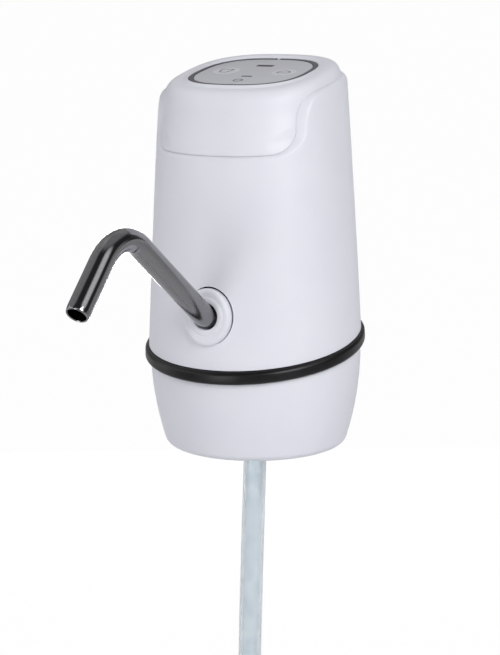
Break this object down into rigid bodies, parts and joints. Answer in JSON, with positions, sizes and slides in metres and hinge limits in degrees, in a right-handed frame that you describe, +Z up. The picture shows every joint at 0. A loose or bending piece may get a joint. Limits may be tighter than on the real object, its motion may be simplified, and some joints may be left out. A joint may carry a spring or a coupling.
{
  "type": "bottled water pump",
  "caption": "Battery water pump that stands on the neck of a large water bottle, with a swivelling bent steel spout, a touch panel on its sloping top and a suction hose with a strainer below.",
  "frame": {"origin": "middle of the seat, the flat gasket inside the skirt that rests on the bottle's mouth", "axes": "+Z up along the bottle's axis, -Y towards the spout, +X to the right as seen facing the spout"},
  "size_m": [0.08, 0.1671, 0.4762],
  "materials": {
    "white_abs": "fine satin moulding",
    "grey_abs": "satin",
    "panel_film": "smooth film",
    "smoked_window": "clear, smoked",
    "black_rubber": "matt",
    "clear_silicone": "translucent",
    "stainless": "polished, finely brushed at the tip",
    "steel": "plain",
    "grey_acetal": "matt",
    "black_nylon": "matt",
    "copper": "varnished winding on its core",
    "bronze": "sintered",
    "board": "lacquered",
    "ferrite": "plain",
    "cell_wrap": "shrink wrap"
  },
  "bodies": {
    "pump": {"body_shell": "white_abs", "top_cap": "white_abs", "panel_trim": "grey_abs", "touch_panel": "panel_film", "display_window": "smoked_window", "rubber_band": "black_rubber", "neck_skirt": "white_abs", "neck_gasket": "black_rubber", "base_plate": "grey_acetal", "base_screw_1": "steel", "base_screw_2": "steel", "base_screw_3": "steel", "base_screw_4": "steel", "inlet_nipple": "grey_acetal", "nipple_nut": "grey_acetal", "inlet_link": "clear_silicone", "suction_hose": "clear_silicone", "hose_strainer": "black_nylon", "spout_escutcheon": "white_abs", "spout_socket": "black_nylon", "spout_seal_1": "black_rubber", "spout_seal_2": "black_rubber", "outlet_link": "clear_silicone", "pump_bracket": "black_nylon", "pump_screw_1": "steel", "pump_screw_2": "steel", "pump_head": "black_nylon", "diaphragm": "black_rubber", "cam_housing": "black_nylon", "wobble_plate": "grey_acetal", "motor_can": "steel", "motor_magnet": "ferrite", "motor_bush_1": "bronze", "motor_bush_2": "bronze", "motor_end_cap": "black_nylon", "motor_terminal_1": "steel", "motor_terminal_2": "steel", "battery_cell": "cell_wrap", "battery_cradle": "grey_acetal", "cell_contact_1": "steel", "cell_contact_2": "steel", "control_board": "board", "board_screw_1": "steel", "board_screw_2": "steel", "board_screw_3": "steel", "touch_spring_1": "steel", "touch_spring_2": "steel", "touch_spring_3": "steel", "display_module": "black_nylon", "charging_board": "board", "charging_screw_1": "steel", "charging_screw_2": "steel", "charging_socket": "steel", "motor_leads": "black_rubber", "battery_leads": "black_rubber", "charging_leads": "black_rubber"},
    "spout": {"spout_tube": "stainless"},
    "rotor": {"motor_rotor": "copper", "drive_cam": "grey_acetal"}
  },
  "joints": [
    {"name": "spout_swivel", "type": "hinge", "parent": "pump", "child": "spout", "pos_m": [0, -0.03757, 0.0292], "axis": [0, -0.9974, 0.0727], "range_deg": [-90, 90]},
    {"name": "motor_spin", "type": "hinge", "parent": "pump", "child": "rotor", "pos_m": [-0.007, 0.005, 0.06], "axis": [0, 0, 1], "continuous": true}
  ]
}
